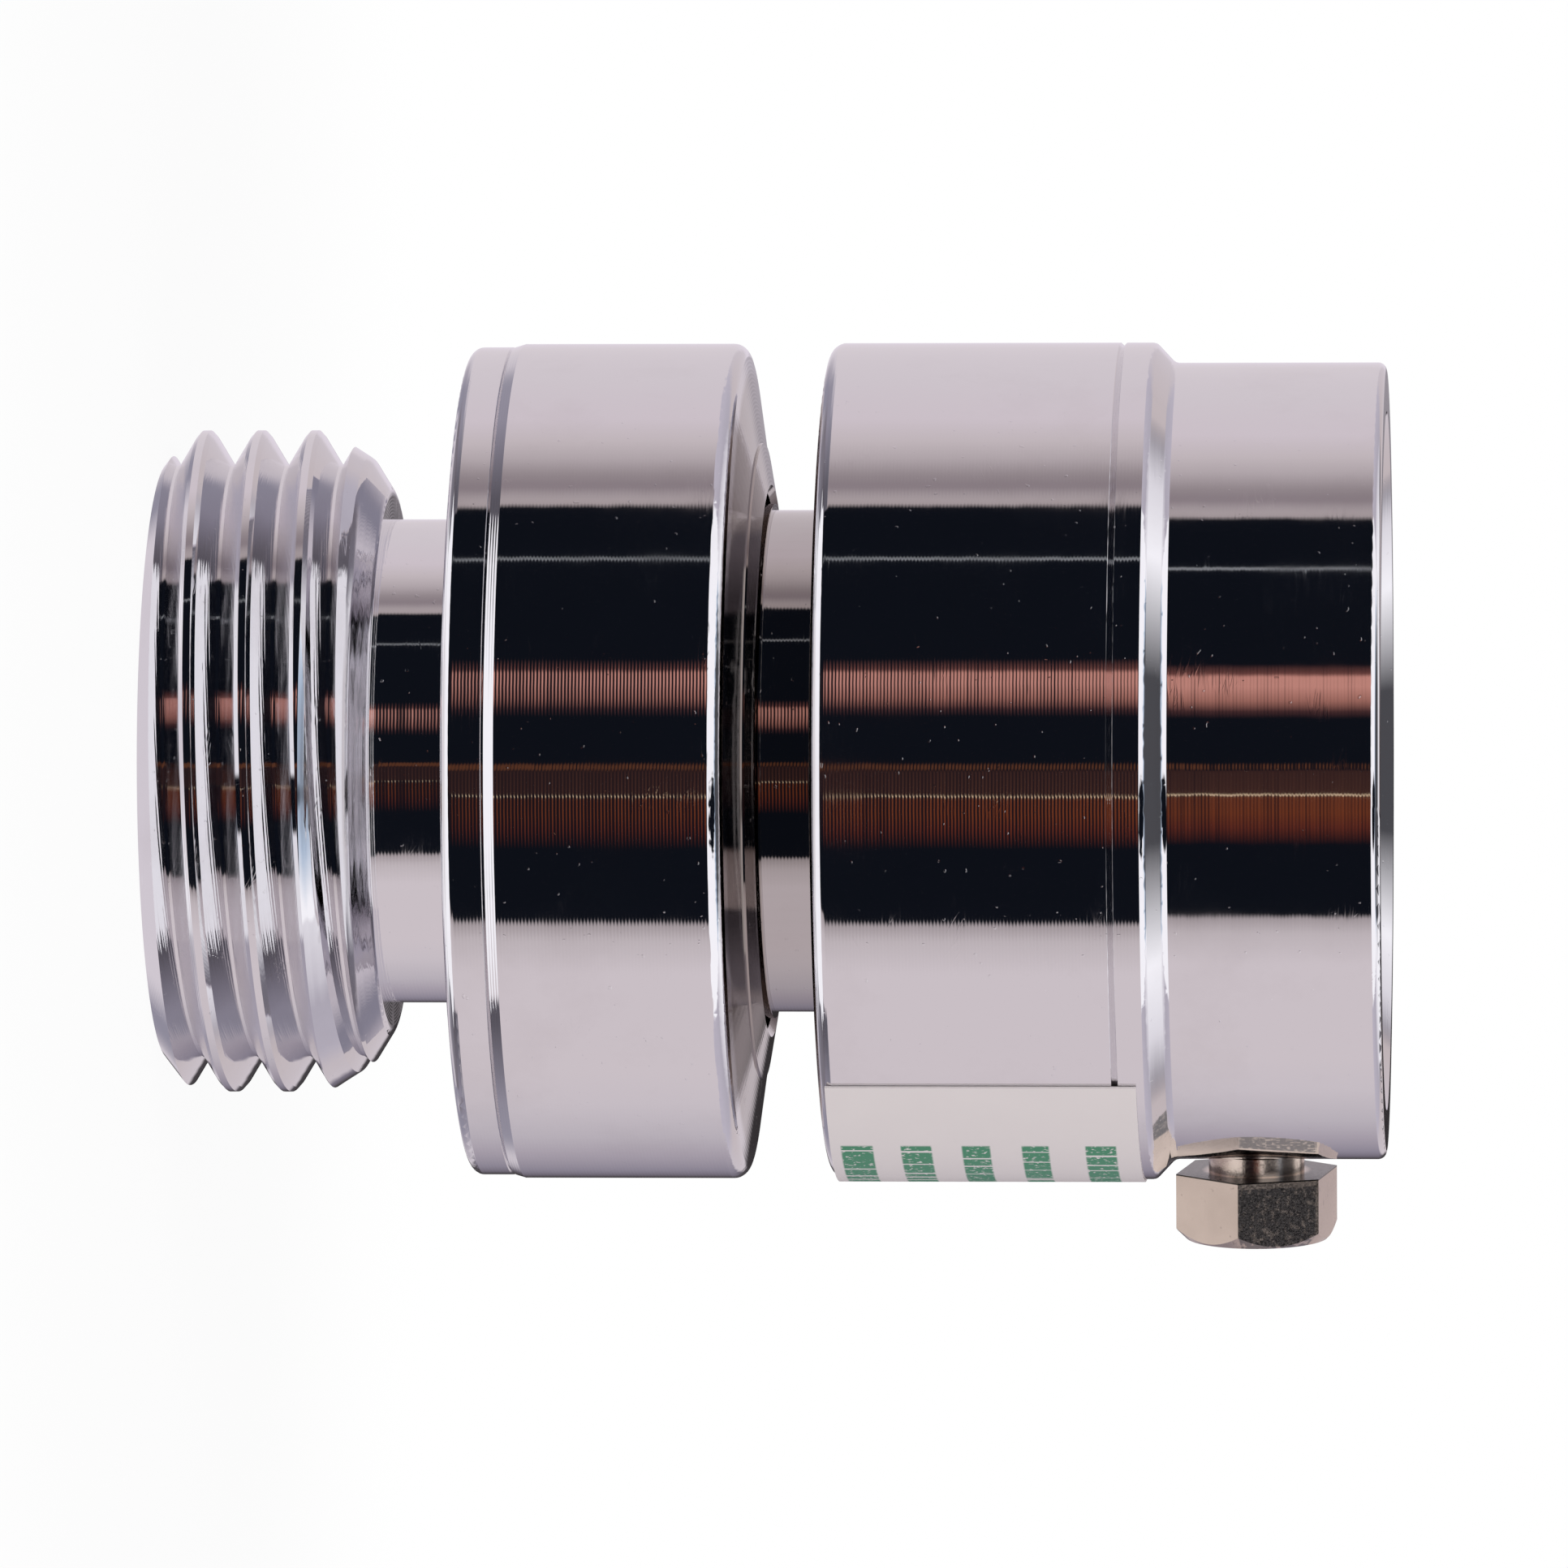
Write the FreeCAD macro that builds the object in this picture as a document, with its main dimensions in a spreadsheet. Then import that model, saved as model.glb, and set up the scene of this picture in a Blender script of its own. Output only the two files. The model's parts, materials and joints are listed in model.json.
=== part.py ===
import FreeCAD, Part
import Sketcher
import os
from FreeCAD import Placement, Rotation, Vector

os.makedirs("parts", exist_ok=True)
doc = FreeCAD.newDocument("vacuum_breaker")

# Driving sizes in millimetres and degrees. Heights stack up from the outlet face.
SIZES = [
    ("block_length", 9.15),
    ("neck_length", 3.33),
    ("flange_thickness", 1.75),
    ("skirt_side", 9.36),
    ("crown_slope_rise", 0.6),
    ("crown_line_rise", 0.08),
    ("crown_ring_rise", 0.3),
    ("vent_gap", 2.49),
    ("cup_height", 11.84),
    ("rim_height", 1.32),
    ("shoulder_height", 0.76),
    ("collar_length", 8.53),
    ("outlet_bore", 8.3),
    ("neck_wall", 1.52),
    ("neck_relief", 2.25),
    ("thread_depth", 1.38),
    ("thread_clearance", 0.15),
    ("collar_wall", 2.52),
    ("rim_width", 0.82),
    ("skirt_inset", 0.01),
    ("flange_inset", 0.13),
    ("seam_bevel", 0.13),
    ("cup_corner", 0.6),
    ("skirt_corner", 0.6),
    ("flange_corner", 0.45),
    ("collar_corner", 0.35),
    ("fit_gap", 0.03),
    ("thread_pitch", 2.209),
    ("thread_first_root", 2.77),
    ("thread_stop", 0.765),
    ("root_flat_half", 0.06),
    ("groove_side_half", 0.777),
    ("groove_side_drop", 0.2),
    ("groove_mouth_half", 1.05),
    ("groove_overshoot", 0.1),
    ("end_bevel", 1.35),
    ("end_bevel_height", 1.05),
    ("back_slope_start", 2.6),
    ("back_slope_end", 0.8),
    ("back_slope_drop", 1.15),
    ("back_face_width", 1.18),
    ("back_round", 0.7),
    ("bore_bevel", 0.5),
    ("ring_level", 3.0),
    ("ring_thickness", 0.8),
    ("ring_reach", 0.9),
    ("ring_depth", 0.6),
    ("ring_gap", 0.05),
    ("ring_angle", 318.0),
    ("chamber_floor", 1.14),
    ("outlet_spigot_wall", 0.97),
    ("outlet_spigot_length", 2.93),
    ("gasket_thickness", 0.5),
    ("plate_thickness", 1.7),
    ("plate_boss_rise", 0.7),
    ("plate_boss_width", 1.42),
    ("plate_gap", 0.05),
    ("vent_hole", 0.9),
    ("vent_hole_inset", 0.2),
    ("vent_count", 10.0),
    ("skirt_wall", 1.83),
    ("plate_ledge", 0.9),
    ("skirt_ceiling", 1.54),
    ("skirt_lead", 0.12),
    ("skirt_lead_length", 0.4),
    ("vent_width", 0.77),
    ("crown_ring_width", 1.95),
    ("vent_lip", 0.25),
    ("stem_shoulder", 0.68),
    ("stem_thread_length", 3.4),
    ("stem_lip", 0.26),
    ("stem_lip_height", 0.5),
    ("stem_lip_below", 0.35),
    ("stem_wall", 1.7),
    ("guide_ledge", 1.0),
    ("guide_drop", 6.1),
    ("cup_floor", 2.2),
    ("cup_wall", 1.97),
    ("spigot_wall", 1.8),
    ("spigot_length", 5.35),
    ("socket_depth", 10.3),
    ("mouth_bevel", 0.55),
    ("web_thickness", 2.5),
    ("throat_radius", 7.0),
    ("seat_land", 1.0),
    ("seat_rise", 0.5),
    ("washer_height", 3.0),
    ("washer_gap", 0.2),
    ("washer_overhang", 0.6),
    ("recess_depth", 0.3),
    ("recess_clearance", 0.05),
    ("washer_round", 0.35),
    ("o_ring_section", 0.84),
    ("o_ring_gap", 0.02),
    ("o_ring_lift", 0.01),
    ("guide_height", 1.5),
    ("guide_rim", 1.57),
    ("guide_hub_wall", 1.34),
    ("pin_gap", 0.06),
    ("spoke_half", 0.9),
    ("spoke_count", 4.0),
    ("pin_radius", 1.5),
    ("pin_tip", 0.4),
    ("pin_root", 1.1),
    ("inlet_pin_proud", 2.4),
    ("inlet_head_floor", 1.6),
    ("inlet_head_wall", 0.4),
    ("head_rim", 0.4),
    ("inlet_seal_margin", 1.2),
    ("inlet_seal_height", 1.3),
    ("seal_side_gap", 0.04),
    ("screw_core", 0.78),
    ("screw_depth", 2.0),
    ("screw_hole_gap", 0.03),
    ("retainer_height", 0.4),
    ("inlet_retainer_inset", 2.4),
    ("screw_head_radius", 1.9),
    ("screw_head_height", 0.7),
    ("slot_half", 0.25),
    ("slot_depth", 0.35),
    ("spring_radius", 4.2),
    ("wire_radius", 0.35),
    ("spring_pitch", 1.6),
    ("outlet_spring_pitch", 1.45),
    ("outlet_guide_rim", 1.37),
    ("outlet_guide_height", 1.8),
    ("outlet_pin_proud", 0.2),
    ("outlet_flow_gap", 1.4),
    ("outlet_head_floor", 1.3),
    ("outlet_head_wall", 0.3),
    ("outlet_seal_margin", 0.5),
    ("outlet_seal_height", 1.2),
    ("outlet_retainer_inset", 2.0),
    ("seat_ring_land", 0.9),
    ("seat_ring_rise", 0.4),
    ("seat_flange_height", 0.9),
    ("seat_spigot_length", 2.3),
    ("seat_wall", 1.57),
    ("bead_gap", 0.05),
    ("bead_width", 1.7),
    ("bead_height", 1.0),
    ("lip_gap", 0.3),
    ("lip_drop", 0.85),
    ("lip_thickness", 0.4),
    ("lip_root_rise", 0.75),
    ("screw_drop", 5.34),
    ("hole_overshoot", 1.1),
    ("hole_gap", 0.05),
    ("set_depth", 2.55),
    ("set_tip_radius", 1.2),
    ("set_tip_length", 0.65),
    ("set_radius", 1.95),
    ("set_length", 1.6),
    ("set_taper", 0.3),
    ("break_radius", 1.25),
    ("break_length", 0.3),
    ("screw_neck", 0.73),
    ("hex_corner_radius", 3.42),
    ("hex_height", 2.76),
    ("hex_bevel_in", 0.54),
    ("hex_bevel_down", 0.52),
    ("hex_angle", 41.35),
    ("label_gap", 0.02),
    ("label_thickness", 0.1),
    ("label_margin", 0.3),
    ("label_overlap", 0.85),
    ("label_angle", 110.0),
    ("label_start_angle", 48.5),
]

sheet = doc.addObject("Spreadsheet::Sheet", "sizes")
for row, (name, size) in enumerate(SIZES, start=1):
    sheet.set("A%d" % row, name)
    sheet.set("B%d" % row, "%g" % size)
    sheet.setAlias("B%d" % row, name)
doc.recompute()


def value(text):
    """The number that a sum of named sizes comes to."""
    if text == "0":
        return 0.0
    total = 0.0
    sign = 1.0
    for word in text.split():
        if word in ("+", "-"):
            sign = 1.0 if word == "+" else -1.0
        else:
            total += sign * float(sheet.get(word))
    return total


def bound(text):
    """The same sum as an expression on the spreadsheet."""
    return " ".join(word if word in ("+", "-") else "sizes." + word for word in text.split())


def plane(body, role):
    for feature in body.Origin.OriginFeatures:
        if feature.Role == role:
            return feature
    raise RuntimeError("no plane " + role)


def new_body(name):
    body = doc.addObject("PartDesign::Body", name)
    body.Label = name
    return body


def new_sketch(body, name, role="XZ_Plane"):
    sketch = body.newObject("Sketcher::SketchObject", name)
    sketch.AttachmentSupport = [(plane(body, role), "")]
    sketch.MapMode = "FlatFace"
    sketch.Visibility = False
    return sketch


def size_constraint(sketch, constraint, text):
    number = sketch.addConstraint(constraint)
    sketch.setExpression("Constraints[%d]" % number, bound(text))


def pin_point(sketch, line, end, across, up):
    """Hold a point at a distance across and up from the sketch origin."""
    if across == "0":
        sketch.addConstraint(Sketcher.Constraint("PointOnObject", line, end, -2))
    else:
        size = Sketcher.Constraint("DistanceX", -1, 1, line, end, value(across))
        size_constraint(sketch, size, across)
    if up == "0":
        sketch.addConstraint(Sketcher.Constraint("PointOnObject", line, end, -1))
    else:
        size = Sketcher.Constraint("DistanceY", -1, 1, line, end, value(up))
        size_constraint(sketch, size, up)


def draw_outline(sketch, points):
    """A closed outline of straight lines through points given as sums of sizes."""
    spots = [Vector(value(across), value(up), 0) for across, up in points]
    count = len(points)
    for i in range(count):
        sketch.addGeometry(Part.LineSegment(spots[i], spots[(i + 1) % count]), False)
    for i in range(count):
        sketch.addConstraint(Sketcher.Constraint("Coincident", i, 2, (i + 1) % count, 1))
    for i, (across, up) in enumerate(points):
        pin_point(sketch, i, 1, across, up)


def draw_circle(sketch, across, up, radius):
    centre = Vector(value(across), value(up), 0)
    shape = Part.Circle(centre, Vector(0, 0, 1), value(radius))
    line = sketch.addGeometry(shape, False)
    pin_point(sketch, line, 3, across, up)
    size_constraint(sketch, Sketcher.Constraint("Radius", line, value(radius)), radius)


def revolve(body, name, sketch, angle=None, cut=False, axis="V_Axis"):
    kind = "PartDesign::Groove" if cut else "PartDesign::Revolution"
    feature = body.newObject(kind, name)
    feature.Profile = sketch
    feature.ReferenceAxis = (sketch, [axis])
    feature.Angle = 360
    if angle:
        feature.setExpression("Angle", bound(angle))
    doc.recompute()
    return feature


def turned(name, points):
    """A piece turned on a lathe from one half section."""
    body = new_body(name)
    sketch = new_sketch(body, name + "_section")
    draw_outline(sketch, points)
    revolve(body, name + "_turning", sketch)
    return body


def ring_edges(body, spots):
    """Names of the round edges at the given radii and heights."""
    names = []
    for number, edge in enumerate(body.Shape.Edges, start=1):
        if edge.Curve.TypeId != "Part::GeomCircle":
            continue
        for radius, height in spots:
            near = abs(edge.Curve.Radius - value(radius)) < 0.001
            if near and abs(edge.Curve.Center.z - value(height)) < 0.001:
                names.append("Edge%d" % number)
    if len(names) < len(spots):
        raise RuntimeError("edges missing on " + body.Label)
    return names


def soften(body, name, spots, size, bevel=False):
    """Round or bevel some round edges of a turned piece."""
    base = body.Tip
    kind = "PartDesign::Chamfer" if bevel else "PartDesign::Fillet"
    feature = body.newObject(kind, name)
    feature.Base = (base, ring_edges(body, spots))
    feature.setExpression("Size" if bevel else "Radius", bound(size))
    doc.recompute()


def cut_through(body, name, sketch, reverse=True):
    """Pocket a sketch on the base plane right through the piece above it."""
    before = body.Shape.Volume
    pocket = body.newObject("PartDesign::Pocket", name)
    pocket.Profile = sketch
    pocket.Type = "ThroughAll"
    pocket.Reversed = reverse
    doc.recompute()
    if not body.Shape.Volume < before:
        raise RuntimeError("nothing cut by " + name)
    return pocket


def repeat_round(body, name, feature, count):
    pattern = body.newObject("PartDesign::PolarPattern", name)
    pattern.Originals = [feature]
    pattern.Axis = (feature.Profile[0], ["N_Axis"])
    pattern.Angle = 360
    pattern.setExpression("Occurrences", bound(count))
    body.Tip = pattern
    doc.recompute()


def spoke_window(body, name, inner, outer, half):
    """An opening between two spokes, a hub and a rim."""
    sketch = new_sketch(body, name, "XY_Plane")
    low = value(inner)
    high = value(outer)
    side = value(half)
    near = (low * low - side * side) ** 0.5
    far = (high * high - side * side) ** 0.5
    flat = sketch.addGeometry(Part.LineSegment(Vector(near, side, 0), Vector(far, side, 0)), False)
    upright = sketch.addGeometry(
        Part.LineSegment(Vector(side, far, 0), Vector(side, near, 0)), False
    )
    arcs = []
    for reach, along in ((low, near), (high, far)):
        middle = reach * 0.5 ** 0.5
        arc = Part.Arc(Vector(along, side, 0), Vector(middle, middle, 0), Vector(side, along, 0))
        arcs.append(sketch.addGeometry(arc, False))
    for arc, end, other, radius in ((arcs[0], 1, 2, inner), (arcs[1], 2, 1, outer)):
        sketch.addConstraint(Sketcher.Constraint("Coincident", arc, 3, -1, 1))
        sketch.addConstraint(Sketcher.Constraint("Coincident", arc, 1, flat, end))
        sketch.addConstraint(Sketcher.Constraint("Coincident", arc, 2, upright, other))
        size_constraint(sketch, Sketcher.Constraint("Radius", arc, value(radius)), radius)
    sketch.addConstraint(Sketcher.Constraint("Horizontal", flat))
    sketch.addConstraint(Sketcher.Constraint("Vertical", upright))
    up = Sketcher.Constraint("DistanceY", -1, 1, flat, 1, side)
    size_constraint(sketch, up, half)
    across = Sketcher.Constraint("DistanceX", -1, 1, upright, 1, side)
    size_constraint(sketch, across, half)
    return sketch


def coil(name, radius, wire, start, end, pitch):
    """A helical compression spring between two levels."""
    body = new_body(name)
    sketch = new_sketch(body, name + "_wire")
    draw_circle(sketch, radius, start + " + " + wire, wire)
    feature = body.newObject("PartDesign::AdditiveHelix", name + "_turns")
    feature.Profile = sketch
    feature.ReferenceAxis = (sketch, ["V_Axis"])
    feature.Mode = 0
    feature.setExpression("Pitch", bound(pitch))
    height = bound(end) + " - (" + bound(start) + ") - sizes.wire_radius - sizes.wire_radius"
    feature.setExpression("Height", height)
    doc.recompute()
    return body


# Radii of the outlet end: the bore sets the neck, the hose thread and the check inside
OUTLET_BORE = "outlet_bore"
NECK = OUTLET_BORE + " + neck_wall"
BACK_FACE_RADIUS = NECK + " + back_face_width"
ROOT = NECK + " + neck_relief"
CREST = ROOT + " + thread_depth"
BACK_SLOPE = CREST + " - back_slope_drop"
SOCKET = CREST + " + thread_clearance"
RING_GROOVE = OUTLET_BORE + " + ring_depth"
RING_OUTER = RING_GROOVE + " - ring_gap"
RING_INNER = OUTLET_BORE + " - ring_reach"
OUTLET_GUIDE_OUTER = OUTLET_BORE + " - fit_gap"
OUTLET_GUIDE_INNER = OUTLET_GUIDE_OUTER + " - outlet_guide_rim"
OUTLET_HEAD_RADIUS = OUTLET_BORE + " - outlet_flow_gap"
OUTLET_SEAL_RADIUS = OUTLET_HEAD_RADIUS + " - outlet_head_wall"
SEAT_BORE = OUTLET_SEAL_RADIUS + " - outlet_seal_margin - seat_ring_land"
OUTLET_RETAINER = SEAT_BORE + " - outlet_retainer_inset"

# Radii of the stem that the check seat screws into, and of the vent round it
SEAT_SPIGOT = SEAT_BORE + " + seat_wall"
STEM_BORE_LOW = SEAT_SPIGOT + " + fit_gap"
STEM_BORE = STEM_BORE_LOW + " + guide_ledge"
GUIDE_OUTER = STEM_BORE + " - fit_gap"
GUIDE_INNER = GUIDE_OUTER + " - guide_rim"
GUIDE_HOLE = "pin_radius + pin_gap"
GUIDE_HUB = GUIDE_HOLE + " + guide_hub_wall"
STEM_THREAD = STEM_BORE + " + stem_wall"
STEM = STEM_THREAD + " + stem_shoulder"
BEAD_INNER = STEM_THREAD + " + bead_gap"
BEAD_OUTER = BEAD_INNER + " + bead_width"
SEAT_FLANGE = BEAD_OUTER + " - bead_gap"
PLATE_BOSS = STEM + " + plate_boss_width"
VENT_CIRCLE = PLATE_BOSS + " + vent_hole_inset + vent_hole"
VENT_BORE = STEM + " + vent_width"
RING_LINE_RADIUS = VENT_BORE + " + crown_ring_width"

# Radii of the outside, from the hose socket out to the cup and in again to what it holds
COLLAR = SOCKET + " + collar_wall"
BODY = COLLAR + " + rim_width"
CUP_BORE = BODY + " - cup_wall"
SPIGOT = CUP_BORE + " - fit_gap"
CHAMBER = SPIGOT + " - spigot_wall"
O_RING = CUP_BORE + " - o_ring_gap - o_ring_section"
RECESS = SOCKET + " + recess_depth"
WASHER_OUTER = RECESS + " - washer_gap"
WASHER_INNER = "throat_radius + washer_overhang"
INLET_SEAL_RADIUS = "throat_radius + seat_land + inlet_seal_margin"
INLET_HEAD_RADIUS = INLET_SEAL_RADIUS + " + inlet_head_wall"
INLET_RETAINER = "throat_radius - inlet_retainer_inset"
SKIRT = BODY + " - skirt_inset"
FLANGE = SKIRT + " - flange_inset"
SKIRT_BORE = SKIRT + " - skirt_wall"
SKIRT_CAVITY = SKIRT_BORE + " - plate_ledge"
PLATE = SKIRT_BORE + " - plate_gap"
OUTLET_SPIGOT = SKIRT_BORE + " - fit_gap"
OUTLET_CHAMBER = OUTLET_SPIGOT + " - outlet_spigot_wall"
LIP = OUTLET_CHAMBER + " - lip_gap"

# Levels along the axis, from the outlet face up to the inlet face
BACK_FACE = "block_length"
FLANGE_LOW = BACK_FACE + " + neck_length"
SEAM_LOW = FLANGE_LOW + " + flange_thickness"
SHOULDER = SEAM_LOW + " + skirt_side"
RING_LINE = SHOULDER + " + crown_slope_rise"
RING_TOP = RING_LINE + " + crown_line_rise"
CROWN = RING_TOP + " + crown_ring_rise"
CUP_LOW = CROWN + " + vent_gap"
SEAM_HIGH = CUP_LOW + " + cup_height"
RIM_TOP = SEAM_HIGH + " + rim_height"
COLLAR_LOW = RIM_TOP + " + shoulder_height"
TOP = COLLAR_LOW + " + collar_length"

WASHER_SEAT = TOP + " - socket_depth"
WEB_LOW = WASHER_SEAT + " - web_thickness"
INLET_SEAT = WEB_LOW + " - seat_rise"
SPIGOT_END = SEAM_HIGH + " - spigot_length"
CUP_FLOOR = CUP_LOW + " + cup_floor"
LEDGE = SPIGOT_END + " - o_ring_section - o_ring_section - o_ring_gap"
GUIDE_LOW = CUP_FLOOR + " - guide_drop"
GUIDE_TOP = GUIDE_LOW + " + guide_height"

CHAMBER_LOW = FLANGE_LOW + " + chamber_floor"
OUTLET_SPIGOT_END = SEAM_LOW + " + outlet_spigot_length"
PLATE_LOW = OUTLET_SPIGOT_END + " + gasket_thickness"
PLATE_TOP = PLATE_LOW + " + plate_thickness"
BOSS_TOP = PLATE_TOP + " + plate_boss_rise"
STEM_END = BOSS_TOP + " - stem_thread_length"
SEAT_FLANGE_LOW = STEM_END + " - seat_flange_height"
OUTLET_SEAT = SEAT_FLANGE_LOW + " - seat_ring_rise"

INLET_SEAL_LOW = INLET_SEAT + " - inlet_seal_height"
INLET_HEAD_LOW = INLET_SEAL_LOW + " - inlet_head_floor"
INLET_HEAD_TOP = INLET_SEAL_LOW + " + head_rim"
INLET_PIN_END = GUIDE_LOW + " - inlet_pin_proud"
OUTLET_SEAL_LOW = OUTLET_SEAT + " - outlet_seal_height"
OUTLET_HEAD_LOW = OUTLET_SEAL_LOW + " - outlet_head_floor"
OUTLET_HEAD_TOP = OUTLET_SEAL_LOW + " + head_rim"
OUTLET_PIN_END = "ring_level - outlet_pin_proud"
RING_SEAT = "ring_level + ring_thickness"
OUTLET_GUIDE_TOP = RING_SEAT + " + outlet_guide_height"

HOLE_LEVEL = TOP + " - screw_drop"
HOLE_START = SOCKET + " - hole_overshoot"
HOLE_END = COLLAR + " + hole_overshoot"
SET_TIP = COLLAR + " - set_depth"
BREAK_LOW = SET_TIP + " + set_length + set_taper"
BREAK_HIGH = BREAK_LOW + " + break_length"
HEX_LOW = BREAK_HIGH + " + set_taper + screw_neck"
HEX_TOP = HEX_LOW + " + hex_height"

# Inlet collar with the hose socket, the rim and the spigot that closes the cup
collar = turned("inlet_collar", [
    (SOCKET + " + mouth_bevel", TOP),
    (COLLAR, TOP),
    (COLLAR, COLLAR_LOW),
    (BODY, RIM_TOP),
    (BODY, SEAM_HIGH),
    (SPIGOT, SEAM_HIGH),
    (SPIGOT, SPIGOT_END),
    (CHAMBER, SPIGOT_END),
    (CHAMBER, WEB_LOW),
    ("throat_radius + seat_land", WEB_LOW),
    ("throat_radius + seat_land", INLET_SEAT),
    ("throat_radius", INLET_SEAT),
    ("throat_radius", WASHER_SEAT),
    (RECESS, WASHER_SEAT),
    (RECESS, WASHER_SEAT + " + washer_height + recess_clearance"),
    (SOCKET, WASHER_SEAT + " + washer_height + recess_clearance"),
    (SOCKET, TOP + " - mouth_bevel"),
])
soften(collar, "collar_end_round", [(COLLAR, TOP)], "collar_corner")
soften(collar, "rim_round", [(BODY, RIM_TOP), (COLLAR, COLLAR_LOW)], "collar_corner")
soften(collar, "rim_seam_bevel", [(BODY, SEAM_HIGH)], "seam_bevel", bevel=True)
hole = new_sketch(collar, "set_screw_hole_section")
hole_side = HOLE_LEVEL + " + set_radius + hole_gap"
draw_outline(hole, [
    (HOLE_START, HOLE_LEVEL),
    (HOLE_END, HOLE_LEVEL),
    (HOLE_END, hole_side),
    (HOLE_START, hole_side),
])
centre_line = hole.addGeometry(
    Part.LineSegment(
        Vector(value(HOLE_START), value(HOLE_LEVEL), 0),
        Vector(value(HOLE_END), value(HOLE_LEVEL), 0),
    ),
    True,
)
hole.addConstraint(Sketcher.Constraint("Coincident", centre_line, 1, 0, 1))
hole.addConstraint(Sketcher.Constraint("Coincident", centre_line, 2, 1, 1))
solid_collar = collar.Shape.Volume
revolve(collar, "set_screw_hole", hole, cut=True, axis="Axis0")
if not collar.Shape.Volume < solid_collar:
    raise RuntimeError("the set screw hole cut nothing")

washer = turned("hose_washer", [
    (WASHER_INNER, WASHER_SEAT),
    (WASHER_OUTER, WASHER_SEAT),
    (WASHER_OUTER, WASHER_SEAT + " + washer_height"),
    (WASHER_INNER, WASHER_SEAT + " + washer_height"),
])
soften(washer, "washer_rounds", [
    (WASHER_INNER, WASHER_SEAT + " + washer_height"),
    (WASHER_OUTER, WASHER_SEAT + " + washer_height"),
], "washer_round")

# Valve body: the cup, the neck below it and the stem that runs down inside the skirt
valve_body = turned("valve_body", [
    (STEM_BORE_LOW, STEM_END),
    (STEM_THREAD, STEM_END),
    (STEM_THREAD, BOSS_TOP),
    (STEM, BOSS_TOP),
    (STEM, CROWN + " - stem_lip_below - stem_lip"),
    (STEM + " + stem_lip", CROWN + " - stem_lip_below"),
    (STEM + " + stem_lip", CROWN + " - stem_lip_below + stem_lip_height"),
    (STEM, CROWN + " - stem_lip_below + stem_lip_height"),
    (STEM, CUP_LOW),
    (BODY, CUP_LOW),
    (BODY, SEAM_HIGH),
    (CUP_BORE, SEAM_HIGH),
    (CUP_BORE, LEDGE),
    (CHAMBER, LEDGE),
    (CHAMBER, CUP_FLOOR),
    (STEM_BORE, CUP_FLOOR),
    (STEM_BORE, GUIDE_LOW),
    (STEM_BORE_LOW, GUIDE_LOW),
])
soften(valve_body, "cup_corner_round", [(BODY, CUP_LOW)], "cup_corner")
soften(valve_body, "cup_seam_bevel", [(BODY, SEAM_HIGH)], "seam_bevel", bevel=True)
soften(valve_body, "neck_corner_round", [(STEM, CUP_LOW)], "collar_corner")

o_ring = new_body("body_o_ring")
o_ring_sketch = new_sketch(o_ring, "o_ring_circle_section")
draw_circle(o_ring_sketch, O_RING, LEDGE + " + o_ring_lift + o_ring_section", "o_ring_section")
revolve(o_ring, "o_ring_turning", o_ring_sketch)

inlet_guide = turned("inlet_guide", [
    (GUIDE_HOLE, GUIDE_LOW),
    (GUIDE_OUTER, GUIDE_LOW),
    (GUIDE_OUTER, GUIDE_TOP),
    (GUIDE_HOLE, GUIDE_TOP),
])
window = spoke_window(inlet_guide, "inlet_guide_window", GUIDE_HUB, GUIDE_INNER, "spoke_half")
window_cut = cut_through(inlet_guide, "inlet_guide_opening", window)
repeat_round(inlet_guide, "inlet_guide_openings", window_cut, "spoke_count")

coil("inlet_spring", "spring_radius", "wire_radius", GUIDE_TOP, INLET_HEAD_LOW, "spring_pitch")

# Inlet check: poppet, rubber face, retaining plate and screw
turned("inlet_poppet", [
    ("0", INLET_PIN_END),
    ("pin_radius - pin_tip", INLET_PIN_END),
    ("pin_radius", INLET_PIN_END + " + pin_tip"),
    ("pin_radius", INLET_HEAD_LOW + " - pin_root"),
    ("pin_radius + pin_root", INLET_HEAD_LOW),
    (INLET_HEAD_RADIUS, INLET_HEAD_LOW),
    (INLET_HEAD_RADIUS, INLET_HEAD_TOP),
    (INLET_SEAL_RADIUS + " + seal_side_gap", INLET_HEAD_TOP),
    (INLET_SEAL_RADIUS + " + seal_side_gap", INLET_SEAL_LOW),
    ("screw_core + screw_hole_gap", INLET_SEAL_LOW),
    ("screw_core + screw_hole_gap", INLET_SEAL_LOW + " - screw_depth"),
    ("0", INLET_SEAL_LOW + " - screw_depth"),
])
turned("inlet_seal", [
    ("screw_core + screw_hole_gap", INLET_SEAL_LOW),
    (INLET_SEAL_RADIUS, INLET_SEAL_LOW),
    (INLET_SEAL_RADIUS, INLET_SEAT),
    ("screw_core + screw_hole_gap", INLET_SEAT),
])
turned("inlet_seal_plate", [
    ("screw_core + screw_hole_gap", INLET_SEAT),
    (INLET_RETAINER, INLET_SEAT),
    (INLET_RETAINER, INLET_SEAT + " + retainer_height"),
    ("screw_core + screw_hole_gap", INLET_SEAT + " + retainer_height"),
])


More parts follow.
